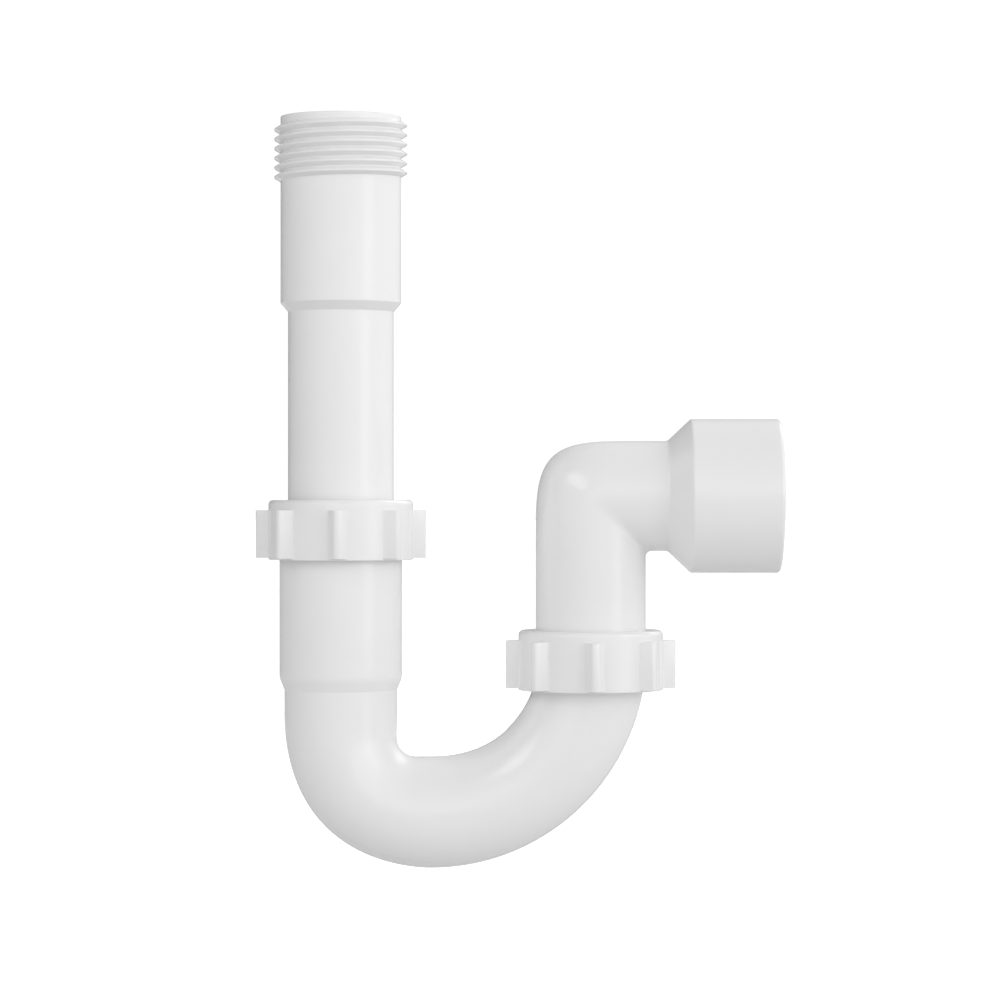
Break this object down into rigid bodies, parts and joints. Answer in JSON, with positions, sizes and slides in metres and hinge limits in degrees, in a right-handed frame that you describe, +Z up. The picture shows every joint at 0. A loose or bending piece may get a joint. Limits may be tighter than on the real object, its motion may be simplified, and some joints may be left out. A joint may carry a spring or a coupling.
{
  "type": "p trap",
  "caption": "Tubular P trap: telescopic inlet tube with a threaded mouth, U bend, two ribbed union nuts and a swivelling elbow that ends in a waste-pipe socket.",
  "frame": {"origin": "centre of the inlet tube's rim, at the top of its threaded mouth", "axes": "+Z up along the inlet tube, out of its mouth; +X towards the outlet socket"},
  "size_m": [0.1652, 0.0536, 0.2367],
  "materials": {
    "white_plastic": "smooth moulded polypropylene, soft gloss",
    "nut_plastic": "smooth moulded polypropylene, soft gloss",
    "slip_ring_plastic": "waxy polyethylene",
    "seal_rubber": "matte moulded rubber"
  },
  "bodies": {
    "inlet_tube": {"inlet_tube": "white_plastic"},
    "inlet_seal": {"inlet_seal": "seal_rubber"},
    "trap_body": {"trap_body": "white_plastic"},
    "inlet_slip_ring": {"inlet_slip_ring": "slip_ring_plastic"},
    "inlet_nut": {"inlet_nut": "nut_plastic"},
    "outlet_elbow": {"outlet_elbow": "white_plastic", "outlet_seal": "seal_rubber"},
    "outlet_slip_ring": {"outlet_slip_ring": "slip_ring_plastic"},
    "outlet_nut": {"outlet_nut": "nut_plastic"}
  },
  "joints": [
    {"name": "inlet_slide", "type": "slide", "parent": "inlet_tube", "child": "inlet_seal", "axis": [0, 0, 1], "range_m": [-0.016, 0.018]},
    {"name": "inlet_turn", "type": "hinge", "parent": "inlet_seal", "child": "trap_body", "pos_m": [0, 0, -0.13], "axis": [0, 0, 1], "continuous": true},
    {"name": "outlet_swivel", "type": "hinge", "parent": "trap_body", "child": "outlet_elbow", "pos_m": [0.0788, 0, -0.1195], "axis": [0, 0, 1], "range_deg": [-135, 135]},
    {"name": "inlet_nut_lift", "type": "slide", "parent": "trap_body", "child": "inlet_slip_ring", "axis": [0, 0, 1], "range_m": [0, 0.01201]},
    {"name": "inlet_nut_turn", "type": "hinge", "parent": "inlet_slip_ring", "child": "inlet_nut", "pos_m": [0, 0, -0.13], "axis": [0, 0, 1], "range_deg": [0, 1440]},
    {"name": "outlet_nut_lift", "type": "slide", "parent": "trap_body", "child": "outlet_slip_ring", "axis": [0, 0, 1], "range_m": [0, 0.01201]},
    {"name": "outlet_nut_turn", "type": "hinge", "parent": "outlet_slip_ring", "child": "outlet_nut", "pos_m": [0.0788, 0, -0.171], "axis": [0, 0, 1], "range_deg": [0, 1440]}
  ],
  "couplings": [
    {"joint": "inlet_nut_lift", "follows": "inlet_nut_turn", "m_per_rad": 0.00047746},
    {"joint": "outlet_nut_lift", "follows": "outlet_nut_turn", "m_per_rad": 0.00047746}
  ]
}
